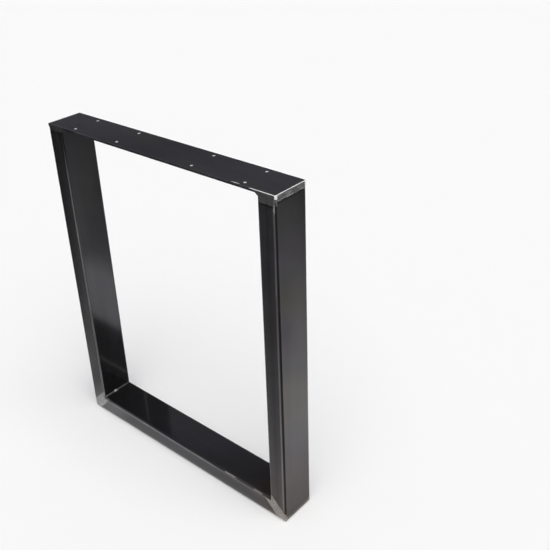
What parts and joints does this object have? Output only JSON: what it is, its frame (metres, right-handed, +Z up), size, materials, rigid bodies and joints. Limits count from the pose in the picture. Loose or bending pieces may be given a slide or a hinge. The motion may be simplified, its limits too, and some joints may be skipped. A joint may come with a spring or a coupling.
{
  "type": "metal table leg",
  "caption": "Welded steel table leg: an open rectangular frame of flat hollow section, mitred at the foot, with a drilled flat bar on top to screw under a table top.",
  "frame": {"origin": "on the floor, under the middle of the frame", "axes": "+X along the frame from the left upright to the right one, +Y across it, +Z up to the table top"},
  "size_m": [0.6, 0.08, 0.72],
  "materials": {
    "tube_steel": "dark rolled skin under a clear satin lacquer",
    "plate_steel": "dark rolled skin under a clear satin lacquer",
    "weld_metal": "ground bright outside, as welded in the inside corners, under the same lacquer"
  },
  "bodies": {
    "root": {"left_upright": "tube_steel", "right_upright": "tube_steel", "foot_rail": "tube_steel", "top_plate": "plate_steel", "lower_left_weld": "weld_metal", "lower_right_weld": "weld_metal", "upper_left_weld": "weld_metal", "upper_right_weld": "weld_metal"}
  },
  "joints": []
}
